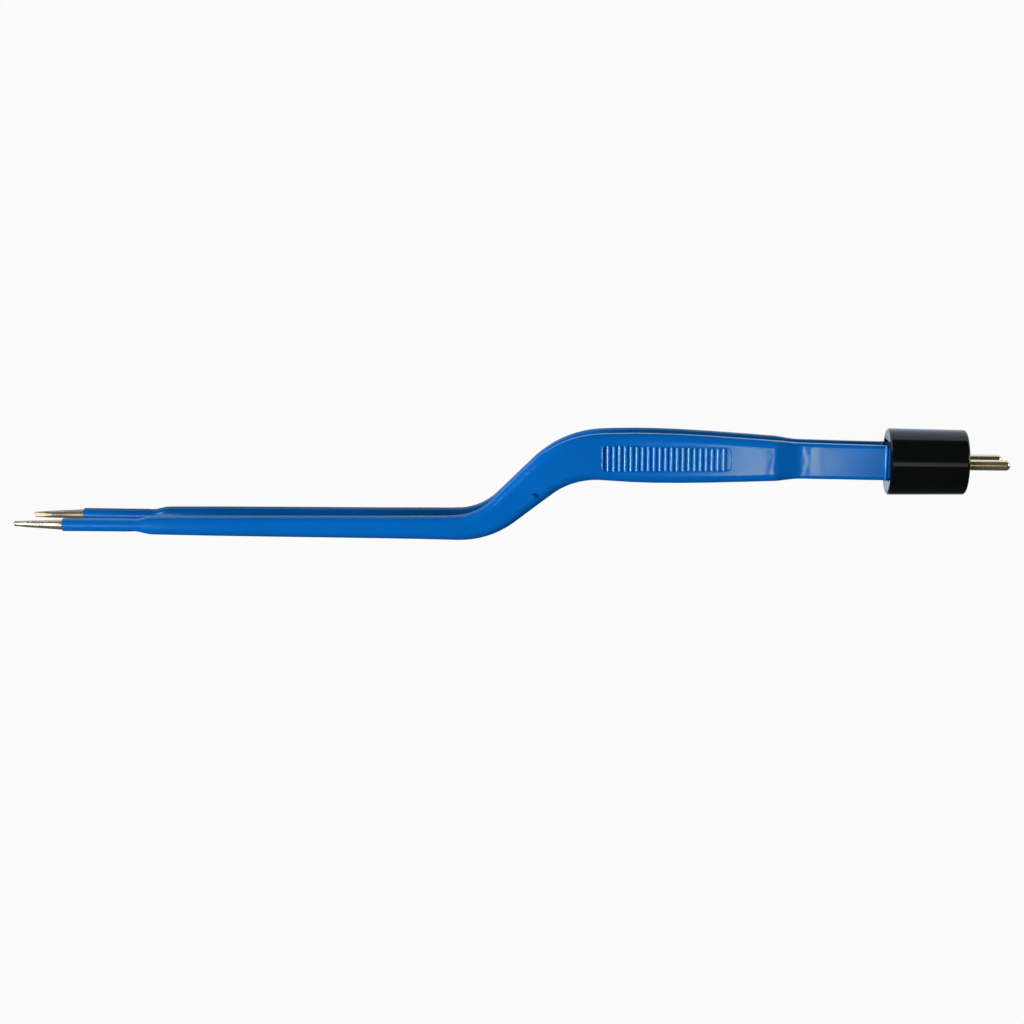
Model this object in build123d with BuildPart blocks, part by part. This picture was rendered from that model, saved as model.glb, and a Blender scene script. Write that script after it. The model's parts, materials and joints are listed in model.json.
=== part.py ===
from build123d import *
from math import atan2, cos, sin, sqrt, tan
import os

# Bipolar forceps: two insulated spring arms with bare tips, held in a round two-pin plug.
# Millimetres. While the pieces are made, x = 0 is the rear face of the plug, the arms run
# to -X, +Y is the handle side of the bayonet and the arms lie apart in Z.

# Driving sizes: plug and contact pins
PLUG_LENGTH = 17.7
PLUG_REAR_X = -0.4
PLUG_FRONT_RADIUS = 7.55
PLUG_REAR_RADIUS = 7.30
PLUG_RIM_CHAMFER = 0.35
PLUG_REAR_ROUND = 0.6
PLUG_REAR_WALL = 5.0
PIN_DIAMETER = 2.36
PIN_STEM_DIAMETER = 1.6
PIN_REACH = 8.7
PIN_SPACING = 9.0
PIN_NOSE_ROUND = 1.0
PIN_COLLAR_RADIUS = 1.75
PIN_COLLAR_LENGTH = 1.4

# Driving sizes: arm outline seen from above (y of the arm's middle, width of the coated arm)
TIP_X = -220.2
BARE_TIP_LENGTH = 12.4
SLEEVE_LENGTH = 17.8
SHOULDER_LENGTH = 3.4
NECK_EASE_LENGTH = 6.0
ELBOW = (-109.1, -15.7)
HANDLE_START = (-89.6, 1.15)
TIP_Y = -16.2
MOUTH_Y = 0.17
ELBOW_RADIUS = 17.5
HANDLE_START_RADIUS = 21.0
GRIP_START_SETBACK = 4.0
TANG_END_X = -8.0
TIP_WIDTH = 1.3
METAL_WIDTH_AT_SLEEVE = 2.34
SLEEVE_WIDTH = 2.96
SHOULDER_WIDTH = 4.3
ELBOW_WIDTH = 5.5
RISE_WIDTH = 8.0
HANDLE_WIDTH = 11.2
GRIP_START_WIDTH = 10.15
HANDLE_WIDEST_X = -71.5
JOGGLE_WIDTH = 9.0
STRIP_WIDTH = 7.8
STRIP_FLARE = 0.3

# Driving sizes: arm seen from the side (height of its outer face, thickness with its coat)
COAT = 0.3
STRIP_OUTER_Z = 4.55
HANDLE_OUTER_Z = 6.15
JOGGLE_START_X = -37.8
JOGGLE_END_X = -42.6
JOGGLE_EASE_LENGTH = 4.0
SPREAD_SLOPE = 0.0149
TIP_Z = 6.3
STRIP_THICKNESS = 1.9
HANDLE_THICKNESS = 2.9
ELBOW_THICKNESS = 3.3
SHOULDER_THICKNESS = 3.2
TIP_THICKNESS = 1.2

# Driving sizes: how far the corners of the coated arm reach across and down its sides
SLEEVE_CORNER = 1.33
SHOULDER_CORNER_ACROSS = 1.7
SHANK_CORNER_ACROSS = 1.9
GRIP_CORNER_ACROSS = 1.7
HANDLE_CORNER_ACROSS = 1.6
STRIP_CORNER_ACROSS = 0.8
SHOULDER_CORNER_DOWN = 1.4
SHANK_CORNER_DOWN = 1.3
GRIP_CORNER_DOWN = 1.05
HANDLE_CORNER_DOWN = 1.0
STRIP_CORNER_DOWN = 0.55
SHOULDER_INNER_CORNER = 1.35
SHANK_INNER_CORNER = 1.2
GRIP_INNER_CORNER = 0.9
HANDLE_INNER_CORNER = 0.8
STRIP_INNER_CORNER = 0.5

# How flat the corners are: 0.293 is a quarter circle and 0.5 a straight bevel
SLEEVE_FLATNESS = 0.293
SHANK_FLATNESS = 0.32
GRIP_FLATNESS = 0.40
STRIP_FLATNESS = 0.36

# Shares: the tip's corners of its width, and the metal's corners that follow the coat's
TIP_CORNER_SHARE = 0.45
METAL_CORNER_SHARE = 0.9

# Driving sizes: ribbed grip on the outer face of the handle
GRIP_LEFT_X = -81.7
GRIP_RIGHT_X = -53.0
GRIP_LEFT_WIDTH = 6.2
GRIP_RIGHT_WIDTH = 5.3
GRIP_MIDDLE_Y = 0.78
GRIP_DEPTH = 0.45
GRIP_CORNER = 0.9
RIB_COUNT = 21
RIB_END_GAP = 1.35
RIB_HEIGHT = 0.4
RIB_BASE = 1.05

# Driving sizes: the ground tip
TIP_END_RADIUS = 0.75
TIP_FLAT_LENGTH = 6.6
TIP_FLAT_DEPTH = 0.14

# Fits and small inner pieces
ARM_CLEARANCE = 0.3
PIN_CLEARANCE = 0.03
SLOT_WIDTH = 9.0
SLOT_MIDDLE_Y = 0.4
RIVET_X = -11.0
RIVET_RADIUS = 0.5
RIVET_HEAD_RADIUS = 0.9
RIVET_HEAD_HEIGHT = 0.45
TONGUE_END_X = -13.6
COAT_DEPTH_IN_PLUG = 1.4
SLOT_CORNER = 0.8
SPACER_RECESS = 0.5

# Places worked out from the driving sizes
SLEEVE_END_X = TIP_X + BARE_TIP_LENGTH
NECK_X = SLEEVE_END_X + SLEEVE_LENGTH
SHOULDER_X = NECK_X + SHOULDER_LENGTH
TIP_FLAT_START_X = TIP_X + TIP_FLAT_LENGTH
MOUTH_X = -PLUG_LENGTH
COAT_END_X = MOUTH_X + COAT_DEPTH_IN_PLUG
PIN_Z = PIN_SPACING / 2
PIN_RADIUS = PIN_DIAMETER / 2
PIN_STEM_RADIUS = PIN_STEM_DIAMETER / 2
HANDLE_END = (MOUTH_X, MOUTH_Y)
TANG_OUTER_Z = STRIP_OUTER_Z - COAT
TANG_INNER_Z = STRIP_OUTER_Z - STRIP_THICKNESS + COAT
MOUTH_HEIGHT = 2 * (STRIP_OUTER_Z + ARM_CLEARANCE)
SPACER_HEIGHT = 2 * (STRIP_OUTER_Z - STRIP_THICKNESS - ARM_CLEARANCE)
JOINT_POCKET_START_X = TONGUE_END_X - ARM_CLEARANCE
JOINT_POCKET_WIDTH = 2 * (PIN_COLLAR_RADIUS + ARM_CLEARANCE / 2)
RIVET_TOP_Z = PIN_Z + PIN_STEM_RADIUS + PIN_CLEARANCE
RIVET_BOTTOM_Z = TANG_INNER_Z - ARM_CLEARANCE - RIVET_HEAD_HEIGHT
SPACER_HEAD_POCKET = SPACER_HEIGHT / 2 - RIVET_BOTTOM_Z + ARM_CLEARANCE / 2
JOINT_POCKET_HEIGHT = 2 * (PIN_Z + PIN_COLLAR_RADIUS + ARM_CLEARANCE / 2)
TONGUE_LENGTH = -PLUG_REAR_WALL - PIN_COLLAR_LENGTH - TONGUE_END_X


def angle_between(start, end):
    return atan2(end[1] - start[1], end[0] - start[0])


def corner_arc(before, corner, after, radius):
    """The arc that rounds one corner of the middle line."""
    angle_in = angle_between(before, corner)
    angle_out = angle_between(corner, after)
    side = 1 if angle_out > angle_in else -1
    reach = radius * abs(tan((angle_out - angle_in) / 2))
    start = (corner[0] - reach * cos(angle_in), corner[1] - reach * sin(angle_in))
    end_x = corner[0] + reach * cos(angle_out)
    center = (start[0] - side * radius * sin(angle_in), start[1] + side * radius * cos(angle_in))
    return start[0], end_x, center, side


ELBOW_ARC = corner_arc((TIP_X, TIP_Y), ELBOW, HANDLE_START, ELBOW_RADIUS)
RISE_ARC = corner_arc(ELBOW, HANDLE_START, HANDLE_END, HANDLE_START_RADIUS)


def on_line(x, start, end):
    """Height and direction at x on the straight line from start to end."""
    angle = angle_between(start, end)
    return start[1] + (x - start[0]) * (end[1] - start[1]) / (end[0] - start[0]), angle


def middle_line(x):
    """Height y and direction of the arm's middle line at x."""
    for (start_x, end_x, center, side), radius in (
        (ELBOW_ARC, ELBOW_RADIUS),
        (RISE_ARC, HANDLE_START_RADIUS),
    ):
        if start_x < x < end_x:
            across = x - center[0]
            height = sqrt(radius * radius - across * across)
            return center[1] - side * height, side * atan2(across, height)
    if x <= ELBOW_ARC[0]:
        return on_line(x, (TIP_X, TIP_Y), ELBOW)
    if x <= RISE_ARC[0]:
        return on_line(x, ELBOW, HANDLE_START)
    return on_line(x, HANDLE_START, HANDLE_END)


def smooth_curve(*points):
    """A curve through the points that never swings past a neighbour."""
    xs = [point[0] for point in points]
    ys = [point[1] for point in points]
    rises = [(ys[i + 1] - ys[i]) / (xs[i + 1] - xs[i]) for i in range(len(xs) - 1)]
    slopes = [rises[0]]
    for left, right in zip(rises, rises[1:]):
        slopes.append(0 if left * right <= 0 else 2 * left * right / (left + right))
    slopes.append(rises[-1])

    def value(x):
        if x <= xs[0]:
            return ys[0]
        if x >= xs[-1]:
            return ys[-1]
        i = max(k for k in range(len(xs) - 1) if xs[k] <= x)
        span = xs[i + 1] - xs[i]
        t = (x - xs[i]) / span
        start = (1 + 2 * t) * (1 - t) ** 2 * ys[i] + t * (1 - t) ** 2 * span * slopes[i]
        end = t * t * (3 - 2 * t) * ys[i + 1] + t * t * (t - 1) * span * slopes[i + 1]
        return start + end

    return value


RISE_MIDDLE_X = (ELBOW[0] + HANDLE_START[0]) / 2
SHANK_END_X = ELBOW[0] - ELBOW_RADIUS / 2
GRIP_START_X = HANDLE_START[0] + GRIP_START_SETBACK
coated_width = smooth_curve(
    (NECK_X, SLEEVE_WIDTH),
    (SHOULDER_X, SHOULDER_WIDTH),
    (SHANK_END_X, ELBOW_WIDTH),
    (RISE_MIDDLE_X, RISE_WIDTH),
    (GRIP_START_X, GRIP_START_WIDTH),
    (HANDLE_WIDEST_X, HANDLE_WIDTH),
    (JOGGLE_END_X, JOGGLE_WIDTH),
    (JOGGLE_START_X, STRIP_WIDTH + STRIP_FLARE),
    (MOUTH_X, STRIP_WIDTH),
)
coated_thickness = smooth_curve(
    (NECK_X, SLEEVE_WIDTH),
    (SHOULDER_X, SHOULDER_THICKNESS),
    (SHANK_END_X, ELBOW_THICKNESS),
    (GRIP_START_X, HANDLE_THICKNESS),
    (JOGGLE_END_X, HANDLE_THICKNESS),
    (JOGGLE_START_X, STRIP_THICKNESS),
)
tip_width = smooth_curve((TIP_X, TIP_WIDTH), (SLEEVE_END_X, METAL_WIDTH_AT_SLEEVE))
tip_thickness = smooth_curve((TIP_X, TIP_THICKNESS), (SLEEVE_END_X, METAL_WIDTH_AT_SLEEVE))
outer_corner_across = smooth_curve(
    (NECK_X, SLEEVE_CORNER),
    (SHOULDER_X, SHOULDER_CORNER_ACROSS),
    (SHANK_END_X, SHANK_CORNER_ACROSS),
    (GRIP_START_X, GRIP_CORNER_ACROSS),
    (JOGGLE_END_X, HANDLE_CORNER_ACROSS),
    (JOGGLE_START_X, STRIP_CORNER_ACROSS),
)
outer_corner_down = smooth_curve(
    (NECK_X, SLEEVE_CORNER),
    (SHOULDER_X, SHOULDER_CORNER_DOWN),
    (SHANK_END_X, SHANK_CORNER_DOWN),
    (GRIP_START_X, GRIP_CORNER_DOWN),
    (JOGGLE_END_X, HANDLE_CORNER_DOWN),
    (JOGGLE_START_X, STRIP_CORNER_DOWN),
)
inner_corner = smooth_curve(
    (NECK_X, SLEEVE_CORNER),
    (SHOULDER_X, SHOULDER_INNER_CORNER),
    (SHANK_END_X, SHANK_INNER_CORNER),
    (GRIP_START_X, GRIP_INNER_CORNER),
    (JOGGLE_END_X, HANDLE_INNER_CORNER),
    (JOGGLE_START_X, STRIP_INNER_CORNER),
)
corner_flatness = smooth_curve(
    (NECK_X, SLEEVE_FLATNESS),
    (SHANK_END_X, SHANK_FLATNESS),
    (GRIP_START_X, GRIP_FLATNESS),
    (JOGGLE_START_X, STRIP_FLATNESS),
)


def handle_outer_z(x):
    return HANDLE_OUTER_Z + SPREAD_SLOPE * (JOGGLE_END_X - x)


joggle_lift = smooth_curve(
    (JOGGLE_END_X, 0), ((JOGGLE_END_X + JOGGLE_START_X) / 2, 0.5), (JOGGLE_START_X, 1)
)


def outer_z(x):
    """Height of the coated arm's outer face."""
    lift = joggle_lift(x)
    return handle_outer_z(x) * (1 - lift) + STRIP_OUTER_Z * lift


def section(x, coated):
    """Plane, width, thickness, corner reaches and flatness of the arm's section at x."""
    y, angle = middle_line(x)
    width = coated_width(x)
    thickness = coated_thickness(x)
    across, down, inner = outer_corner_across(x), outer_corner_down(x), inner_corner(x)
    z = outer_z(x) - thickness / 2
    if not coated:
        width -= 2 * COAT
        thickness -= 2 * COAT
        across -= METAL_CORNER_SHARE * COAT
        down -= METAL_CORNER_SHARE * COAT
        inner -= METAL_CORNER_SHARE * COAT
    if x < SLEEVE_END_X:
        taper = (x - TIP_X) / (SLEEVE_END_X - TIP_X)
        z = TIP_Z + (z - TIP_Z) * taper
        width = tip_width(x)
        thickness = tip_thickness(x)
        across = down = inner = TIP_CORNER_SHARE * width
    plane = Plane(
        origin=(x, y, z), x_dir=(-sin(angle), cos(angle), 0), z_dir=(cos(angle), sin(angle), 0)
    )
    return plane, width, thickness, across, down, inner, corner_flatness(x)


def draw_section(width, thickness, across, down, inner, flatness):
    """A rectangle with two large outer corners (top) and two smaller inner ones."""
    right, top = width / 2, thickness / 2
    Line((-right + across, top), (right - across, top))
    ThreePointArc(
        (right - across, top),
        (right - flatness * across, top - flatness * down),
        (right, top - down),
    )
    Line((right, top - down), (right, -top + inner))
    ThreePointArc(
        (right, -top + inner),
        (right - flatness * inner, -top + flatness * inner),
        (right - inner, -top),
    )
    Line((right - inner, -top), (-right + inner, -top))
    ThreePointArc(
        (-right + inner, -top),
        (-right + flatness * inner, -top + flatness * inner),
        (-right, -top + inner),
    )
    Line((-right, -top + inner), (-right, top - down))
    ThreePointArc(
        (-right, top - down),
        (-right + flatness * across, top - flatness * down),
        (-right + across, top),
    )


def steps(start, end, count):
    """Evenly spaced places from start up to, but not including, end."""
    return [start + (end - start) * i / count for i in range(count)]


# Places of the arm's sections, closer together where its shape changes quickly
NECK_EASE_X = NECK_X - NECK_EASE_LENGTH
SHOULDER_EASE_X = SHOULDER_X + NECK_EASE_LENGTH
JOGGLE_EASE_X = JOGGLE_END_X - JOGGLE_EASE_LENGTH
TAPER_STATIONS = steps(TIP_X, SLEEVE_END_X, count=4)
ARM_STATIONS = (
    steps(SLEEVE_END_X, NECK_EASE_X, count=3)
    + steps(NECK_EASE_X, NECK_X, count=3)
    + steps(NECK_X, SHOULDER_X, count=4)
    + steps(SHOULDER_X, SHOULDER_EASE_X, count=3)
    + steps(SHOULDER_EASE_X, ELBOW_ARC[0], count=11)
    + steps(ELBOW_ARC[0], RISE_ARC[1], count=16)
    + steps(RISE_ARC[1], JOGGLE_EASE_X, count=8)
    + steps(JOGGLE_EASE_X, JOGGLE_END_X, count=2)
    + steps(JOGGLE_END_X, JOGGLE_START_X, count=5)
    + steps(JOGGLE_START_X, COAT_END_X, count=9)
)
COAT_STATIONS = ARM_STATIONS + [COAT_END_X]
METAL_STATIONS = TAPER_STATIONS + ARM_STATIONS + steps(COAT_END_X, TANG_END_X, count=4)
METAL_STATIONS.append(TANG_END_X)

# Grip pocket on the outer face of the handle
GRIP_MIDDLE_X = (GRIP_LEFT_X + GRIP_RIGHT_X) / 2
GRIP_PLANE = Plane(
    origin=(GRIP_MIDDLE_X, GRIP_MIDDLE_Y, handle_outer_z(GRIP_MIDDLE_X)),
    x_dir=(1, 0, -SPREAD_SLOPE),
    z_dir=(SPREAD_SLOPE, 0, 1),
)
GRIP_HALF_LENGTH = (GRIP_RIGHT_X - GRIP_LEFT_X) / 2
RIB_FIRST_X = GRIP_LEFT_X + RIB_END_GAP
RIB_PITCH = (GRIP_RIGHT_X - RIB_END_GAP - RIB_FIRST_X) / (RIB_COUNT - 1)


def pocket_corners(grow):
    """Corners of the grip pocket's outline, grown all round by the given amount."""
    left, right = -GRIP_HALF_LENGTH - grow, GRIP_HALF_LENGTH + grow
    left_top = GRIP_LEFT_WIDTH / 2 + grow
    right_top = GRIP_RIGHT_WIDTH / 2 + grow
    return [(left, -left_top), (right, -right_top), (right, right_top), (left, left_top)]


# One arm: the bare metal form, then the coated form around it
with BuildPart() as metal:
    for station in METAL_STATIONS:
        plane, *shape = section(station, coated=False)
        with BuildSketch(plane):
            with BuildLine():
                draw_section(*shape)
            make_face()
    loft()

with BuildPart() as coated:
    for station in COAT_STATIONS:
        plane, *shape = section(station, coated=True)
        with BuildSketch(plane):
            with BuildLine():
                draw_section(*shape)
            make_face()
    loft()


with BuildPart() as cored:
    add(metal.part)
    with BuildSketch(GRIP_PLANE) as pocket:
        with BuildLine():
            Polyline(*pocket_corners(COAT), close=True)
        make_face()
        fillet(pocket.vertices(), GRIP_CORNER + COAT)
    extrude(amount=-(GRIP_DEPTH + COAT), mode=Mode.SUBTRACT)

with BuildPart() as beyond_nose:
    with Locations((TIP_X, TIP_Y, TIP_Z)):
        Box(2 * TIP_END_RADIUS, 3 * TIP_WIDTH, 3 * TIP_THICKNESS)
    with Locations((TIP_X + TIP_END_RADIUS, TIP_Y, TIP_Z)):
        Sphere(TIP_END_RADIUS, mode=Mode.SUBTRACT)

# The bare tips are rounded at the end and ground flat on the sides that meet
with BuildPart() as upper_blade:
    add(cored.part)
    add(beyond_nose.part, mode=Mode.SUBTRACT)
    with BuildSketch(Plane.XZ.offset(-TIP_Y)) as tip_flat:
        with Locations((TIP_FLAT_START_X, TIP_Z - TIP_THICKNESS / 2 + TIP_FLAT_DEPTH)):
            Rectangle(2 * TIP_FLAT_LENGTH, TIP_THICKNESS, align=(Align.MAX, Align.MAX))
    extrude(amount=2 * TIP_WIDTH, both=True, mode=Mode.SUBTRACT)
    with BuildSketch(Plane.XY.offset(STRIP_OUTER_Z)) as rivet_hole:
        with Locations((RIVET_X, middle_line(RIVET_X)[0])):
            Circle(RIVET_RADIUS + ARM_CLEARANCE)
    extrude(amount=-2 * STRIP_THICKNESS, mode=Mode.SUBTRACT)

# What is taken out of the coat for the grip: the pocket without its ribs
with BuildPart() as grip_hollow:
    with BuildSketch(GRIP_PLANE.offset(GRIP_DEPTH)) as pocket:
        with BuildLine():
            Polyline(*pocket_corners(0), close=True)
        make_face()
        fillet(pocket.vertices(), GRIP_CORNER)
    extrude(amount=-2 * GRIP_DEPTH)
    for i in range(RIB_COUNT):
        rib_x = RIB_FIRST_X + i * RIB_PITCH
        rib_foot = GRIP_PLANE.from_local_coords((rib_x - GRIP_MIDDLE_X, 0, -GRIP_DEPTH))
        with BuildSketch(
            Plane(origin=rib_foot, x_dir=GRIP_PLANE.x_dir, z_dir=-GRIP_PLANE.y_dir)
        ):
            with BuildLine():
                Polyline(
                    (RIB_BASE / 2, 0),
                    (RIB_BASE / 2, -COAT),
                    (-RIB_BASE / 2, -COAT),
                    (-RIB_BASE / 2, 0),
                )
                ThreePointArc((-RIB_BASE / 2, 0), (0, RIB_HEIGHT), (RIB_BASE / 2, 0))
            make_face()
        extrude(amount=GRIP_LEFT_WIDTH, both=True, mode=Mode.SUBTRACT)

with BuildPart() as upper_insulation:
    add(coated.part)
    add(grip_hollow.part, mode=Mode.SUBTRACT)
    add(cored.part, mode=Mode.SUBTRACT)

# The lower arm is the upper one turned over about the plug's middle
lower_blade = upper_blade.part.mirror(Plane.XY)
lower_insulation = upper_insulation.part.mirror(Plane.XY)

# Plug body: a slightly tapered cylinder with a mouth for both arms and a pocket for their joints
with BuildPart() as plug_body:
    with BuildSketch(Plane.XZ) as half_profile:
        with BuildLine():
            Polyline(
                (MOUTH_X, 0),
                (MOUTH_X, PLUG_FRONT_RADIUS),
                (PLUG_REAR_X, PLUG_REAR_RADIUS),
                (PLUG_REAR_X, 0),
                close=True,
            )
        make_face()
    revolve(axis=Axis.X)
    chamfer(plug_body.faces().sort_by(Axis.X)[0].edges(), PLUG_RIM_CHAMFER)
    fillet(plug_body.faces().sort_by(Axis.X)[-1].edges(), PLUG_REAR_ROUND)
    with BuildSketch(Plane.YZ.offset(MOUTH_X)):
        with Locations((SLOT_MIDDLE_Y, 0)):
            RectangleRounded(SLOT_WIDTH, MOUTH_HEIGHT, SLOT_CORNER)
    extrude(amount=PLUG_LENGTH - PLUG_REAR_WALL, mode=Mode.SUBTRACT)
    with BuildSketch(Plane.YZ.offset(JOINT_POCKET_START_X)):
        RectangleRounded(JOINT_POCKET_WIDTH, JOINT_POCKET_HEIGHT, SLOT_CORNER)
    extrude(amount=-PLUG_REAR_WALL - JOINT_POCKET_START_X, mode=Mode.SUBTRACT)
    with BuildSketch(Plane.YZ):
        with Locations((0, PIN_Z), (0, -PIN_Z)):
            Circle(PIN_STEM_RADIUS + PIN_CLEARANCE)
    extrude(amount=-PLUG_LENGTH / 2, mode=Mode.SUBTRACT)

# Spacer that keeps the two metal arms apart inside the plug
with BuildPart() as plug_spacer:
    with BuildSketch(Plane.YZ.offset(MOUTH_X + SPACER_RECESS)):
        with Locations((SLOT_MIDDLE_Y, 0)):
            RectangleRounded(SLOT_WIDTH, SPACER_HEIGHT, SLOT_CORNER / 2)
    extrude(amount=-PLUG_REAR_WALL - MOUTH_X - SPACER_RECESS)
    with BuildSketch(Plane.XY.offset(SPACER_HEIGHT / 2)):
        with Locations((RIVET_X, 0)):
            Circle(RIVET_HEAD_RADIUS + ARM_CLEARANCE)
    extrude(amount=-SPACER_HEAD_POCKET, mode=Mode.SUBTRACT)
    with BuildSketch(Plane.XY.offset(-SPACER_HEIGHT / 2)):
        with Locations((RIVET_X, 0)):
            Circle(RIVET_HEAD_RADIUS + ARM_CLEARANCE)
    extrude(amount=SPACER_HEAD_POCKET, mode=Mode.SUBTRACT)

# Contact pin: round nose outside, thinner stem and collar inside, half-round tongue over the tang
with BuildPart() as upper_pin:
    with BuildSketch(Plane.YZ.offset(TONGUE_END_X)):
        with Locations((0, PIN_Z)):
            Circle(PIN_STEM_RADIUS)
    extrude(amount=PLUG_REAR_X - TONGUE_END_X)
    with BuildSketch(Plane.YZ.offset(PLUG_REAR_X)):
        with Locations((0, PIN_Z)):
            Circle(PIN_RADIUS)
    extrude(amount=PIN_REACH - PLUG_REAR_X)
    fillet(upper_pin.faces().sort_by(Axis.X)[-1].edges(), PIN_NOSE_ROUND)
    with BuildSketch(Plane.YZ.offset(-PLUG_REAR_WALL)):
        with Locations((0, PIN_Z)):
            Circle(PIN_COLLAR_RADIUS)
    extrude(amount=-PIN_COLLAR_LENGTH)
    with Locations((TONGUE_END_X, 0, PIN_Z)):
        Box(
            TONGUE_LENGTH,
            4 * PIN_RADIUS,
            2 * PIN_RADIUS,
            align=(Align.MIN, Align.CENTER, Align.MAX),
            mode=Mode.SUBTRACT,
        )
    with BuildSketch(Plane.XY):
        with Locations((RIVET_X, 0)):
            Circle(RIVET_RADIUS)
    extrude(amount=2 * PIN_Z, mode=Mode.SUBTRACT)

# Rivet through the tongue and the tang, headed on both sides
with BuildPart() as upper_rivet:
    with BuildSketch(Plane.XY.offset(RIVET_BOTTOM_Z)):
        with Locations((RIVET_X, 0)):
            Circle(RIVET_HEAD_RADIUS)
    extrude(amount=RIVET_HEAD_HEIGHT)
    with BuildSketch(Plane.XY.offset(RIVET_BOTTOM_Z)):
        with Locations((RIVET_X, 0)):
            Circle(RIVET_RADIUS)
    extrude(amount=RIVET_TOP_Z - RIVET_BOTTOM_Z)
    with BuildSketch(Plane.XY.offset(RIVET_TOP_Z)):
        with Locations((RIVET_X, 0)):
            Circle(RIVET_HEAD_RADIUS)
    extrude(amount=RIVET_HEAD_HEIGHT)

pieces = {
    "upper_blade": upper_blade.part,
    "lower_blade": lower_blade,
    "upper_insulation": upper_insulation.part,
    "lower_insulation": lower_insulation,
    "plug_body": plug_body.part,
    "plug_spacer": plug_spacer.part,
    "upper_pin": upper_pin.part,
    "lower_pin": upper_pin.part.mirror(Plane.XY),
    "upper_rivet": upper_rivet.part,
    "lower_rivet": upper_rivet.part.mirror(Plane.XY),
}

# The frame's origin is under the middle of the whole object, with the lower arm's outer side at 0
boxes = [piece.bounding_box(tolerance=0.001) for piece in pieces.values()]
low_y = min(box.min.Y for box in boxes)
high_y = max(box.max.Y for box in boxes)
low_z = min(box.min.Z for box in boxes)
shift = Location((-(TIP_X + PIN_REACH) / 2, -(low_y + high_y) / 2, -low_z))

os.makedirs("parts", exist_ok=True)
for label, piece in pieces.items():
    placed = piece.moved(shift)
    placed.label = label
    export_step(placed, f"parts/{label}.step")
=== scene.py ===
import json
import math

import bpy
from mathutils import Euler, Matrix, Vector

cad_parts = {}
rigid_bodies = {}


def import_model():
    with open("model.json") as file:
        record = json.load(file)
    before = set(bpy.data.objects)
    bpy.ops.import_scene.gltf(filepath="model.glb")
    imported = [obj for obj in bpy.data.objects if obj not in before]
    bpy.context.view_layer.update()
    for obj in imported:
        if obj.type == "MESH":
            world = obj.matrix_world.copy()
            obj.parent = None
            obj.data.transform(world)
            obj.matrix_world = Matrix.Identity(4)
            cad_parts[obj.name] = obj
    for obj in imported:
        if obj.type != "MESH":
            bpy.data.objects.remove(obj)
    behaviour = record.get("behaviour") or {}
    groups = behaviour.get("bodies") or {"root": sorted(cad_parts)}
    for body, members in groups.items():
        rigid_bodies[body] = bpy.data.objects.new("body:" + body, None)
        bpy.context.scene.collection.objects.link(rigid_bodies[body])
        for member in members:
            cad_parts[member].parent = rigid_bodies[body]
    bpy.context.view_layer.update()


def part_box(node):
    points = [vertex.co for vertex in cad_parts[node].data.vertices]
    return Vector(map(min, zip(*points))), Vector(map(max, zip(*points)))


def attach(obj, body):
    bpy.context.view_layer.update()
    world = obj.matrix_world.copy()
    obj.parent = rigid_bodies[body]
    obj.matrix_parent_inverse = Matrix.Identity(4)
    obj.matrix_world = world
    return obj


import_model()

bl_info = {
    "name": "Bipolar forceps",
    "version": (1, 0, 0),
    "blender": (4, 5, 0),
    "location": "View3D > Sidebar > Forceps",
    "description": "Dresses the forceps in its coat, steel, plug and studio",
    "category": "Object",
}

MM = 0.001

# The plug's middle across the arms, and the middle of its rear face
PLUG_LOW, PLUG_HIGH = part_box("plug_body")
PLUG_MIDDLE_Y = (PLUG_LOW[1] + PLUG_HIGH[1]) / 2
PLUG_MIDDLE_Z = (PLUG_LOW[2] + PLUG_HIGH[2]) / 2
PLUG_REAR = Vector((PLUG_HIGH[0], PLUG_MIDDLE_Y, PLUG_MIDDLE_Z))

# Each arm's body and the side of the plug's middle that it lies on
ARMS = (("upper_arm", 1), ("lower_arm", -1))

# The photograph's camera
CAMERA_PLACE = PLUG_REAR + Vector((-68.684, 50.967, 365.018)) * MM
CAMERA_TURN = (-9.8845, 5.2733, -0.0894)
CAMERA_LENS = 56.25
CAMERA_SENSOR = 36.0
CAMERA_NEAREST = 0.01

# Where each cuff sits, from the plug's mouth and the plug's middle
CUFF_GAP = 0.25 * MM
CUFF_SIDEWAYS = 0.17 * MM
CUFF_HEIGHT = 3.6 * MM
CUFF_ROUND_STEPS = 6

# The outline of each grip pocket, placed from the middle of the plug's rear face
GRIP_LENGTH = 28.7 * MM
GRIP_LEFT_WIDTH = 6.2 * MM
GRIP_RIGHT_WIDTH = 5.3 * MM
GRIP_CORNER = 0.9 * MM
GRIP_CORNER_STEPS = 8
GRIP_SLOPE = 0.0149
GRIP_PLACE = Vector((-66.95, 0.78, 6.36)) * MM
RIM_ROUND_STEPS = 4

# The painted shade of a small ragged dent in the coat at the bend under the handle
DENT_SHADE_PLACE = PLUG_REAR + Vector((-96.5, -7.75, 7.0)) * MM
DENT_SHADE_RADIUS = 0.8 * MM
DENT_SHADE_RAGGED = Vector((2.4, 2.4, 0)) * MM
DENT_SHADE_DARKNESS = 0.3

# Noise is spread over its middle part, because it seldom reaches its ends
NOISE_LOW = 0.3
NOISE_HIGH = 0.7

# Painted reflection of the floor in the glossy pieces: a bluish glow, with painted contact
# shadow close to a piece and painted shade on the low side
GLOW_TINT = (0.7, 0.85, 1, 1)
CONTACT_REACH = 4 * MM
CONTACT_DEPTH = 3
LOW_SIDE_SHARE = 0.05
LOW_SIDE_START_Y = 0
LOW_SIDE_END_Y = -12 * MM

# The room: warm where the pieces mirror it, pale where the camera sees it
ROOM_COLOUR = (1, 0.88, 0.7, 1)
BACKDROP_COLOUR = (0.97, 0.97, 0.97, 1)
FLOOR_SIZE = 6.0

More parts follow.
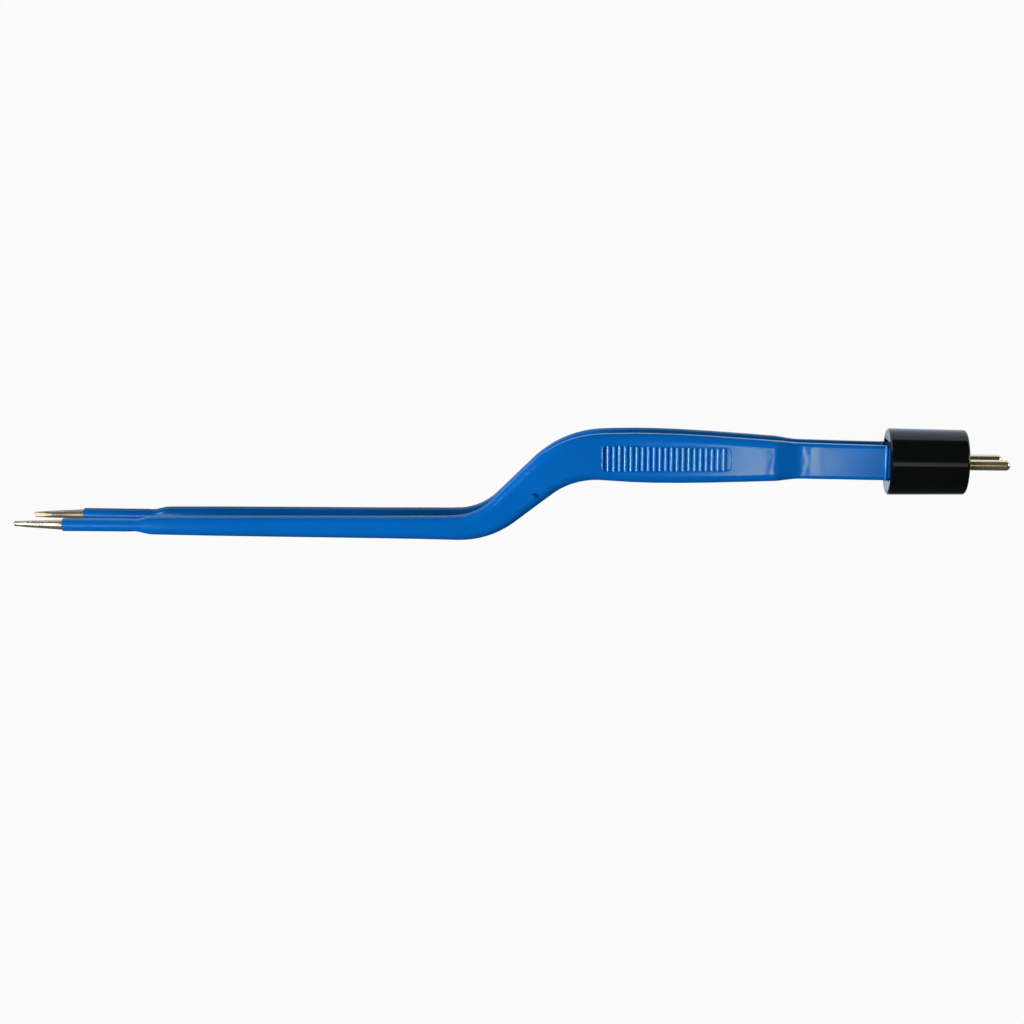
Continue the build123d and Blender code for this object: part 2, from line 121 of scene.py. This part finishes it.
# Softboxes that hang over the forceps and face straight down
OVERHEAD_PLACE = Vector((0.105, -0.063, 0.5))
OVERHEAD_SIZE = (0.035, 0.06)
OVERHEAD_COLOUR = (1, 0.86, 0.3)
PLUG_TOP_PLACE = Vector((0.175, -0.003, 0.5))
PLUG_TOP_SIZE = (0.09, 0.1)
TIP_TOP_PLACE = Vector((-0.31, -0.1, 0.5))
TIP_TOP_SIZE = (0.14, 0.1)

# Softboxes that stand beyond the forceps' ends
TIP_END_PLACE = Vector((-1.35, 0.15, 1.0))
TIP_END_AIM = Vector((0, 0, 0))
TIP_END_SIZE = (1.0, 1.0)
PLUG_END_PLACE = Vector((0.8, 0.2, 0.32))
PLUG_END_AIM = Vector((0.1, 0, 0))
PLUG_END_SIZE = (0.3, 0.3)
RIB_LIGHT_PLACE = Vector((-1.3, -0.17, 0.95))
RIB_LIGHT_AIM = Vector((0.03, 0, 0))
RIB_LIGHT_SIZE = (0.25, 0.9)
RIB_LIGHT_COLOUR = (0.35, 0.78, 1)
WHITE = (1, 1, 1)


def colour_property(name, description, default):
    """A colour that the panel shows."""
    return bpy.props.FloatVectorProperty(
        name=name,
        description=description,
        subtype="COLOR",
        size=4,
        min=0,
        max=1,
        default=default,
    )


def length_property(name, description, default):
    """A length that the panel shows."""
    return bpy.props.FloatProperty(
        name=name,
        description=description,
        unit="LENGTH",
        min=0,
        precision=5,
        default=default,
    )


def power_property(name, description, default):
    """A softbox's power that the panel shows."""
    return bpy.props.FloatProperty(
        name=name,
        description=description,
        unit="POWER",
        min=0,
        precision=4,
        default=default,
    )


def level_property(name, description, default):
    """A plain brightness that the panel shows."""
    return bpy.props.FloatProperty(
        name=name,
        description=description,
        min=0,
        precision=3,
        default=default,
    )


class ForcepsColours(bpy.types.PropertyGroup):
    """Colours of the forceps' pieces and of the floor"""

    coat: colour_property("Coat", "Colour of the insulating coat", (0.0, 0.135, 0.49, 1))
    steel: colour_property("Steel", "Colour of the bare tips", (0.6, 0.45, 0.32, 1))
    pin: colour_property("Pin", "Colour of the plated contact pins", (0.78, 0.62, 0.38, 1))
    plug: colour_property("Plug", "Colour of the moulded plug", (0.003, 0.0036, 0.0036, 1))
    brass: colour_property(
        "Rivet", "Colour of the brass rivets inside the plug", (0.52, 0.34, 0.12, 1)
    )
    floor: colour_property("Floor", "Colour of the studio floor", (0.08, 0.08, 0.08, 1))


class ForcepsSizes(bpy.types.PropertyGroup):
    """Sizes of the coat's rolled edges"""

    cuff_length: length_property("Cuff length", "Length of the cuff along the arm", 0.8 * MM)
    cuff_width: length_property("Cuff width", "Width of the cuff across the strip", 7.9 * MM)
    cuff_thickness: length_property("Cuff thickness", "Height of the cuff", 2.3 * MM)
    cuff_round: length_property("Cuff round", "Rounding of the cuff's edges", 0.38 * MM)
    rim_radius: length_property("Rim radius", "Radius of the bead around the grip", 0.25 * MM)


class ForcepsStage(bpy.types.PropertyGroup):
    """Strengths of the studio's lights"""

    world: level_property("Room light", "Brightness of the room around the forceps", 0.045)
    overhead: power_property(
        "Overhead softbox", "Power of the softbox mirrored in the handle and the strip", 0.072
    )
    plug_top: power_property(
        "Plug softbox", "Power of the softbox mirrored along the plug", 0.033
    )
    tip_top: power_property(
        "Tip softbox", "Power of the softbox mirrored in the bare tips", 0.14
    )
    tip_end: power_property(
        "Tip end softbox", "Power of the large softbox beyond the tips", 21.0
    )
    plug_end: power_property(
        "Plug end softbox", "Power of the weak softbox beyond the pins", 2.5
    )
    rib_light: power_property(
        "Rib light", "Power of the narrow bluish light that picks out the ribs", 20.0
    )
    # Strength of the painted reflection that the glossy pieces see in the floor
    glow: level_property(
        "Floor glow", "Brightness of the floor as the glossy pieces mirror it", 1.35
    )
    shadow: bpy.props.FloatProperty(
        name="Floor shadow",
        description="Share of the floor's own shading that the camera sees",
        subtype="FACTOR",
        min=0,
        max=1,
        default=0.04,
    )


def new_material(name):
    """A material with its node tree and its Principled shader."""
    material = bpy.data.materials.new(name)
    material.use_nodes = True
    tree = material.node_tree
    return material, tree, tree.nodes["Principled BSDF"]


def object_noise(tree, scale, detail, stretch=(1, 1, 1)):
    """Noise on Object coordinates, stretched along the given axes."""
    coordinates = tree.nodes.new("ShaderNodeTexCoord")
    mapping = tree.nodes.new("ShaderNodeMapping")
    mapping.inputs["Scale"].default_value = stretch
    noise = tree.nodes.new("ShaderNodeTexNoise")
    noise.inputs["Scale"].default_value = scale
    noise.inputs["Detail"].default_value = detail
    tree.links.new(coordinates.outputs["Object"], mapping.inputs["Vector"])
    tree.links.new(mapping.outputs["Vector"], noise.inputs["Vector"])
    return noise


def shades(tree, noise, colour, darker, lighter):
    """A colour that wanders with the noise between a darker and a lighter form of itself."""
    ramp = tree.nodes.new("ShaderNodeValToRGB")
    dark, light = ramp.color_ramp.elements
    dark.position = NOISE_LOW
    light.position = NOISE_HIGH
    dark.color = [*(channel * darker for channel in colour[:3]), 1]
    light.color = [*(min(1, channel * lighter) for channel in colour[:3]), 1]
    tree.links.new(noise.outputs["Fac"], ramp.inputs["Fac"])
    return ramp.outputs["Color"]


def uneven_colour(tree, shader, noise, colour, darker, lighter):
    """Gives the surface its colour in wandering shades."""
    tree.links.new(shades(tree, noise, colour, darker, lighter), shader.inputs["Base Color"])


def uneven_roughness(tree, shader, noise, low, high):
    """Gives the surface a roughness that wanders with the noise."""
    reach = tree.nodes.new("ShaderNodeMapRange")
    reach.inputs["From Min"].default_value = NOISE_LOW
    reach.inputs["From Max"].default_value = NOISE_HIGH
    reach.inputs["To Min"].default_value = low
    reach.inputs["To Max"].default_value = high
    tree.links.new(noise.outputs["Fac"], reach.inputs["Value"])
    tree.links.new(reach.outputs["Result"], shader.inputs["Roughness"])


def relief(tree, shader, noise, height, strength):
    """Gives the surface a fine relief of the given height in metres."""
    bump = tree.nodes.new("ShaderNodeBump")
    bump.inputs["Strength"].default_value = strength
    bump.inputs["Distance"].default_value = height
    tree.links.new(noise.outputs["Fac"], bump.inputs["Height"])
    tree.links.new(bump.outputs["Normal"], shader.inputs["Normal"])


def with_dent_shade(tree, plain_colour, dent_shade_colour):
    """The plain colour with the painted shade of a small ragged dent in it."""
    coordinates = tree.nodes.new("ShaderNodeTexCoord")
    ragged = tree.nodes.new("ShaderNodeVectorMath")
    ragged.operation = "MULTIPLY_ADD"
    ragged.inputs[1].default_value = DENT_SHADE_RAGGED
    away = tree.nodes.new("ShaderNodeVectorMath")
    away.operation = "DISTANCE"
    away.inputs[1].default_value = DENT_SHADE_PLACE + DENT_SHADE_RAGGED / 2
    dent_shade_edge = tree.nodes.new("ShaderNodeMapRange")
    dent_shade_edge.interpolation_type = "SMOOTHSTEP"
    dent_shade_edge.inputs["From Min"].default_value = DENT_SHADE_RADIUS
    dent_shade_edge.inputs["From Max"].default_value = DENT_SHADE_RADIUS / 2
    darkened = tree.nodes.new("ShaderNodeMix")
    darkened.data_type = "RGBA"
    darkened.inputs["B"].default_value = dent_shade_colour
    edge_noise = object_noise(tree, scale=900, detail=2)
    tree.links.new(edge_noise.outputs["Color"], ragged.inputs[0])
    tree.links.new(coordinates.outputs["Object"], ragged.inputs[2])
    tree.links.new(ragged.outputs["Vector"], away.inputs[0])
    tree.links.new(away.outputs["Value"], dent_shade_edge.inputs["Value"])
    tree.links.new(dent_shade_edge.outputs["Result"], darkened.inputs["Factor"])
    tree.links.new(plain_colour, darkened.inputs["A"])
    return darkened.outputs["Result"]


def coat_material(colour):
    """Blue insulating coat: glossy, with faint orange peel, uneven depth of colour and the
    painted shade of a small dent.
    """
    material, tree, shader = new_material("blue_coat")
    cloud = object_noise(tree, scale=60, detail=3)
    peel = object_noise(tree, scale=900, detail=2)
    plain_colour = shades(tree, cloud, colour, darker=0.93, lighter=1.07)
    # Painted shade: the coat colour is darkened where the small dent is
    dent_shade_colour = [*(DENT_SHADE_DARKNESS * channel for channel in colour[:3]), 1]
    tree.links.new(with_dent_shade(tree, plain_colour, dent_shade_colour), shader.inputs["Base Color"])
    uneven_roughness(tree, shader, cloud, low=0.12, high=0.17)
    shader.inputs["Specular Tint"].default_value = (0.7, 0.9, 1, 1)
    relief(tree, shader, peel, height=0.006 * MM, strength=0.8)
    return material


def steel_material(colour):
    """Ground stainless steel with fine lines along the arm."""
    material, tree, shader = new_material("ground_steel")
    lines = object_noise(tree, scale=4000, detail=3, stretch=(0.03, 1, 1))
    cloud = object_noise(tree, scale=300, detail=3)
    shader.inputs["Metallic"].default_value = 0.8
    uneven_colour(tree, shader, cloud, colour, darker=0.92, lighter=1.06)
    uneven_roughness(tree, shader, lines, low=0.18, high=0.32)
    relief(tree, shader, lines, height=0.002 * MM, strength=0.15)
    return material


def pin_material(colour):
    """Plated brass, turned, with faint rings around the pin."""
    material, tree, shader = new_material("plated_pin")
    rings = object_noise(tree, scale=3000, detail=2, stretch=(1, 0.02, 0.02))
    shader.inputs["Metallic"].default_value = 0.9
    uneven_colour(tree, shader, rings, colour, darker=0.95, lighter=1.04)
    uneven_roughness(tree, shader, rings, low=0.14, high=0.2)
    relief(tree, shader, rings, height=0.002 * MM, strength=0.1)
    return material


def brass_material(colour):
    """Plain brass of the hidden rivets."""
    material, tree, shader = new_material("rivet_brass")
    cloud = object_noise(tree, scale=900, detail=3)
    shader.inputs["Metallic"].default_value = 1
    uneven_colour(tree, shader, cloud, colour, darker=0.85, lighter=1.1)
    uneven_roughness(tree, shader, cloud, low=0.25, high=0.4)
    return material


def plug_material(colour):
    """Black moulded plastic with a fine grain."""
    material, tree, shader = new_material("black_moulding")
    grain = object_noise(tree, scale=2500, detail=3)
    cloud = object_noise(tree, scale=150, detail=3)
    uneven_colour(tree, shader, cloud, colour, darker=0.85, lighter=1.2)
    uneven_roughness(tree, shader, cloud, low=0.11, high=0.16)
    shader.inputs["Specular IOR Level"].default_value = 0.35
    relief(tree, shader, grain, height=0.004 * MM, strength=0.2)
    return material


def spacer_material(colour):
    """Dull black plastic of the spacer between the tangs."""
    material, tree, shader = new_material("dull_spacer")
    grain = object_noise(tree, scale=1500, detail=3)
    uneven_colour(tree, shader, grain, colour, darker=0.8, lighter=1.4)
    uneven_roughness(tree, shader, grain, low=0.5, high=0.65)
    relief(tree, shader, grain, height=0.02 * MM, strength=0.4)
    return material


def dress(nodes, material):
    """Gives each of the CAD nodes the material."""
    for node in nodes:
        for slot in bpy.data.objects[node].material_slots:
            slot.material = material


def finish_piece(piece, body):
    """Smooths a new piece, gives it the arm's coat and lets it ride on the arm."""
    bpy.ops.object.shade_smooth()
    coat = bpy.data.objects[body.replace("arm", "insulation")].material_slots[0].material
    piece.data.materials.append(coat)
    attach(piece, body)


class FORCEPS_OT_insulation(bpy.types.Operator):
    """Gives both arms their blue insulating coat"""

    bl_idname = "forceps.insulation"
    bl_label = "Insulation"

    def execute(self, context):
        colours = context.scene.forceps_colours
        dress(("upper_insulation", "lower_insulation"), coat_material(colours.coat))
        return {"FINISHED"}


class FORCEPS_OT_blades(bpy.types.Operator):
    """Gives both arms their ground steel"""

    bl_idname = "forceps.blades"
    bl_label = "Blades"

    def execute(self, context):
        colours = context.scene.forceps_colours
        dress(("upper_blade", "lower_blade"), steel_material(colours.steel))
        return {"FINISHED"}


class FORCEPS_OT_cuffs(bpy.types.Operator):
    """Models the rolled end of each coat, a rounded lip just outside the plug"""

    bl_idname = "forceps.cuffs"
    bl_label = "Coat cuffs"

    def execute(self, context):
        sizes = context.scene.forceps_sizes
        middle_x = PLUG_LOW[0] - CUFF_GAP - sizes.cuff_length / 2
        middle_y = PLUG_MIDDLE_Y + CUFF_SIDEWAYS
        for body, side in ARMS:
            middle_z = PLUG_MIDDLE_Z + side * CUFF_HEIGHT
            bpy.ops.object.select_all(action="DESELECT")
            bpy.ops.mesh.primitive_cube_add(size=1, location=(middle_x, middle_y, middle_z))
            cuff = context.active_object
            cuff.name = body + "_cuff"
            cuff.scale = (sizes.cuff_length, sizes.cuff_width, sizes.cuff_thickness)
            bpy.ops.object.transform_apply(location=True, rotation=False, scale=True)
            bpy.ops.object.mode_set(mode="EDIT")
            bpy.ops.mesh.select_all(action="SELECT")
            bpy.ops.mesh.bevel(
                offset=sizes.cuff_round, segments=CUFF_ROUND_STEPS, affect="EDGES"
            )
            bpy.ops.object.mode_set(mode="OBJECT")
            finish_piece(cuff, body)
        return {"FINISHED"}


class FORCEPS_OT_grip_rims(bpy.types.Operator):
    """Models the soft rolled edge of each grip pocket, a fine bead along its outline"""

    bl_idname = "forceps.grip_rims"
    bl_label = "Grip rims"

    def execute(self, context):
        sizes = context.scene.forceps_sizes
        for body, side in ARMS:
            bpy.ops.object.select_all(action="DESELECT")
            bpy.ops.mesh.primitive_plane_add(size=1, location=(0, 0, 0))
            rim = context.active_object
            rim.name = body + "_grip_rim"
            rim.scale = (GRIP_LENGTH, GRIP_LEFT_WIDTH, 1)
            bpy.ops.object.transform_apply(location=False, rotation=False, scale=True)
            self.narrow_right_end(rim)
            bpy.ops.mesh.select_all(action="SELECT")
            bpy.ops.mesh.bevel(offset=GRIP_CORNER, segments=GRIP_CORNER_STEPS, affect="VERTICES")
            bpy.ops.mesh.delete(type="ONLY_FACE")
            bpy.ops.object.mode_set(mode="OBJECT")
            rim.rotation_euler = (0, side * math.atan(GRIP_SLOPE), 0)
            rim.location = PLUG_REAR + GRIP_PLACE * Vector((1, 1, side))
            bpy.ops.object.transform_apply(location=True, rotation=True, scale=True)
            bpy.ops.object.convert(target="CURVE")
            rim.data.bevel_depth = sizes.rim_radius
            rim.data.bevel_resolution = RIM_ROUND_STEPS
            bpy.ops.object.convert(target="MESH")
            finish_piece(rim, body)
        return {"FINISHED"}

    def narrow_right_end(self, rim):
        """Scales the rectangle's right end to its own width, and stays in edit mode."""
        bpy.ops.object.mode_set(mode="EDIT")
        bpy.ops.mesh.select_all(action="DESELECT")
        bpy.ops.object.mode_set(mode="OBJECT")
        for corner in rim.data.vertices:
            corner.select = corner.co.x > 0
        bpy.ops.object.mode_set(mode="EDIT")
        bpy.ops.transform.resize(
            value=(1, GRIP_RIGHT_WIDTH / GRIP_LEFT_WIDTH, 1), center_override=(0, 0, 0)
        )


class FORCEPS_OT_plug(bpy.types.Operator):
    """Finishes the moulded plug body and the spacer in its mouth"""

    bl_idname = "forceps.plug"
    bl_label = "Plug"

    def execute(self, context):
        colours = context.scene.forceps_colours
        dress(("plug_body",), plug_material(colours.plug))
        dress(("plug_spacer",), spacer_material(colours.plug))
        return {"FINISHED"}


class FORCEPS_OT_contacts(bpy.types.Operator):
    """Finishes the contact pins and the rivets that join them to the tangs"""

    bl_idname = "forceps.contacts"
    bl_label = "Contacts"

    def execute(self, context):
        colours = context.scene.forceps_colours
        dress(("upper_pin", "lower_pin"), pin_material(colours.pin))
        dress(("upper_rivet", "lower_rivet"), brass_material(colours.brass))
        return {"FINISHED"}


def softbox(name, place, aim, size, power, colour=WHITE):
    """An area light at a place, turned toward the aim."""
    light = bpy.data.lights.new(name, "AREA")
    light.shape = "RECTANGLE"
    light.size, light.size_y = size
    light.energy = power
    light.color = colour
    lamp = bpy.data.objects.new(name, light)
    lamp.location = place
    lamp.rotation_euler = (aim - place).to_track_quat("-Z", "Y").to_euler()
    bpy.context.scene.collection.objects.link(lamp)


def softbox_above(name, place, size, power, colour=WHITE):
    """A softbox that faces straight down."""
    softbox(name, place, Vector((place.x, place.y, 0)), size, power, colour)


def light_the_forceps(stage):
    """Hangs the softboxes."""
    softbox_above("overhead", OVERHEAD_PLACE, OVERHEAD_SIZE, stage.overhead, OVERHEAD_COLOUR)
    softbox_above("plug_top", PLUG_TOP_PLACE, PLUG_TOP_SIZE, stage.plug_top)
    softbox_above("tip_top", TIP_TOP_PLACE, TIP_TOP_SIZE, stage.tip_top)
    softbox("tip_end", TIP_END_PLACE, TIP_END_AIM, TIP_END_SIZE, stage.tip_end)
    softbox("plug_end", PLUG_END_PLACE, PLUG_END_AIM, PLUG_END_SIZE, stage.plug_end)
    softbox(
        "rib_light",
        RIB_LIGHT_PLACE,
        RIB_LIGHT_AIM,
        RIB_LIGHT_SIZE,
        stage.rib_light,
        RIB_LIGHT_COLOUR,
    )


def painted_floor_reflection(tree, glow):
    """A painted reflection: the floor glows for glossy rays, with painted contact shadow near a
    piece and painted shade on the low side.
    """
    mirrored = tree.nodes.new("ShaderNodeEmission")
    mirrored.inputs["Color"].default_value = GLOW_TINT
    # Painted contact shadow: ambient occlusion dims the glow close to a piece
    painted_contact_shadow = tree.nodes.new("ShaderNodeAmbientOcclusion")
    painted_contact_shadow.inputs["Distance"].default_value = CONTACT_REACH
    deepened = tree.nodes.new("ShaderNodeMath")
    deepened.operation = "POWER"
    deepened.inputs[1].default_value = CONTACT_DEPTH
    coordinates = tree.nodes.new("ShaderNodeTexCoord")
    axes = tree.nodes.new("ShaderNodeSeparateXYZ")
    # Painted shade: the glow fades toward the low side
    side = tree.nodes.new("ShaderNodeMapRange")
    side.inputs["From Min"].default_value = LOW_SIDE_END_Y
    side.inputs["From Max"].default_value = LOW_SIDE_START_Y
    side.inputs["To Min"].default_value = LOW_SIDE_SHARE * glow
    side.inputs["To Max"].default_value = glow
    strength = tree.nodes.new("ShaderNodeMath")
    strength.operation = "MULTIPLY"
    tree.links.new(painted_contact_shadow.outputs["AO"], deepened.inputs[0])
    tree.links.new(coordinates.outputs["Object"], axes.inputs["Vector"])
    tree.links.new(axes.outputs["Y"], side.inputs["Value"])
    tree.links.new(deepened.outputs["Value"], strength.inputs[0])
    tree.links.new(side.outputs["Result"], strength.inputs[1])
    tree.links.new(strength.outputs["Value"], mirrored.inputs["Strength"])
    return mirrored.outputs["Emission"]


def floor_material(colour, glow, shadow):
    """A floor that the camera sees as white, with a share of its own shading, and that glossy
    rays see as a painted glowing reflection.
    """
    material = bpy.data.materials.new("studio_floor")
    material.use_nodes = True
    tree = material.node_tree
    tree.nodes.clear()
    output = tree.nodes.new("ShaderNodeOutputMaterial")
    diffuse = tree.nodes.new("ShaderNodeBsdfDiffuse")
    diffuse.inputs["Color"].default_value = colour
    white = tree.nodes.new("ShaderNodeEmission")
    white.inputs["Strength"].default_value = 1
    path = tree.nodes.new("ShaderNodeLightPath")
    share = tree.nodes.new("ShaderNodeMath")
    share.operation = "MULTIPLY"
    share.inputs[1].default_value = 1 - shadow
    seen = tree.nodes.new("ShaderNodeMixShader")
    reflected = tree.nodes.new("ShaderNodeMixShader")
    tree.links.new(path.outputs["Is Camera Ray"], share.inputs[0])
    tree.links.new(share.outputs["Value"], seen.inputs["Fac"])
    tree.links.new(diffuse.outputs["BSDF"], seen.inputs[1])
    tree.links.new(white.outputs["Emission"], seen.inputs[2])
    # Glossy rays see the painted reflection instead of the floor's own shading
    tree.links.new(path.outputs["Is Glossy Ray"], reflected.inputs["Fac"])
    tree.links.new(seen.outputs["Shader"], reflected.inputs[1])
    tree.links.new(painted_floor_reflection(tree, glow), reflected.inputs[2])
    tree.links.new(reflected.outputs["Shader"], output.inputs["Surface"])
    return material


def lay_floor(context, material):
    """Lays the floor under the forceps."""
    bpy.ops.object.select_all(action="DESELECT")
    bpy.ops.mesh.primitive_plane_add(size=FLOOR_SIZE, location=(0, 0, 0))
    floor = context.active_object
    floor.name = "studio_floor"
    floor.data.materials.append(material)


def fill_room(scene, brightness):
    """A dim warm room that lights the forceps, with a pale backdrop for the camera."""
    world = bpy.data.worlds.new("studio")
    scene.world = world
    world.use_nodes = True
    tree = world.node_tree
    room = tree.nodes["Background"]
    room.inputs["Color"].default_value = ROOM_COLOUR
    room.inputs["Strength"].default_value = brightness
    backdrop = tree.nodes.new("ShaderNodeBackground")
    backdrop.inputs["Color"].default_value = BACKDROP_COLOUR
    path = tree.nodes.new("ShaderNodeLightPath")
    mix = tree.nodes.new("ShaderNodeMixShader")
    tree.links.new(path.outputs["Is Camera Ray"], mix.inputs["Fac"])
    tree.links.new(room.outputs["Background"], mix.inputs[1])
    tree.links.new(backdrop.outputs["Background"], mix.inputs[2])
    tree.links.new(mix.outputs["Shader"], tree.nodes["World Output"].inputs["Surface"])


def place_camera(scene):
    """Sets up the photograph's camera."""
    camera = bpy.data.cameras.new("photo_camera")
    camera.lens = CAMERA_LENS
    camera.sensor_width = CAMERA_SENSOR
    camera.clip_start = CAMERA_NEAREST
    holder = bpy.data.objects.new("photo_camera", camera)
    holder.location = CAMERA_PLACE
    holder.rotation_euler = Euler([math.radians(turn) for turn in CAMERA_TURN])
    scene.collection.objects.link(holder)
    scene.camera = holder


class FORCEPS_OT_stage(bpy.types.Operator):
    """Sets up the pale floor, the soft studio light and the camera"""

    bl_idname = "forceps.stage"
    bl_label = "Stage"

    def execute(self, context):
        scene = context.scene
        stage = scene.forceps_stage
        floor_colour = scene.forceps_colours.floor
        lay_floor(context, floor_material(floor_colour, stage.glow, stage.shadow))
        fill_room(scene, stage.world)
        light_the_forceps(stage)
        place_camera(scene)
        scene.view_settings.view_transform = "Standard"
        return {"FINISHED"}


class FORCEPS_PT_panel(bpy.types.Panel):
    """Lists the forceps' pieces, colours, sizes and lights"""

    bl_label = "Forceps"
    bl_idname = "FORCEPS_PT_panel"
    bl_space_type = "VIEW_3D"
    bl_region_type = "UI"
    bl_category = "Forceps"

    def draw(self, context):
        for operator in OPERATORS:
            self.layout.operator(operator.bl_idname)
        for group in GROUPS:
            settings = getattr(context.scene, group)
            for name in GROUPS[group].__annotations__:
                self.layout.prop(settings, name)


OPERATORS = (
    FORCEPS_OT_insulation,
    FORCEPS_OT_blades,
    FORCEPS_OT_cuffs,
    FORCEPS_OT_grip_rims,
    FORCEPS_OT_plug,
    FORCEPS_OT_contacts,
    FORCEPS_OT_stage,
)
GROUPS = {
    "forceps_colours": ForcepsColours,
    "forceps_sizes": ForcepsSizes,
    "forceps_stage": ForcepsStage,
}
CLASSES = (*GROUPS.values(), *OPERATORS, FORCEPS_PT_panel)


def register():
    for each in CLASSES:
        bpy.utils.register_class(each)
    for group, kind in GROUPS.items():
        setattr(bpy.types.Scene, group, bpy.props.PointerProperty(type=kind))


def unregister():
    for group in GROUPS:
        delattr(bpy.types.Scene, group)
    for each in reversed(CLASSES):
        bpy.utils.unregister_class(each)


def main():
    """Registers the add-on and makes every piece."""
    register()
    bpy.ops.forceps.insulation()
    bpy.ops.forceps.blades()
    bpy.ops.forceps.cuffs()
    bpy.ops.forceps.grip_rims()
    bpy.ops.forceps.plug()
    bpy.ops.forceps.contacts()
    bpy.ops.forceps.stage()


if __name__ == "__main__":
    main()
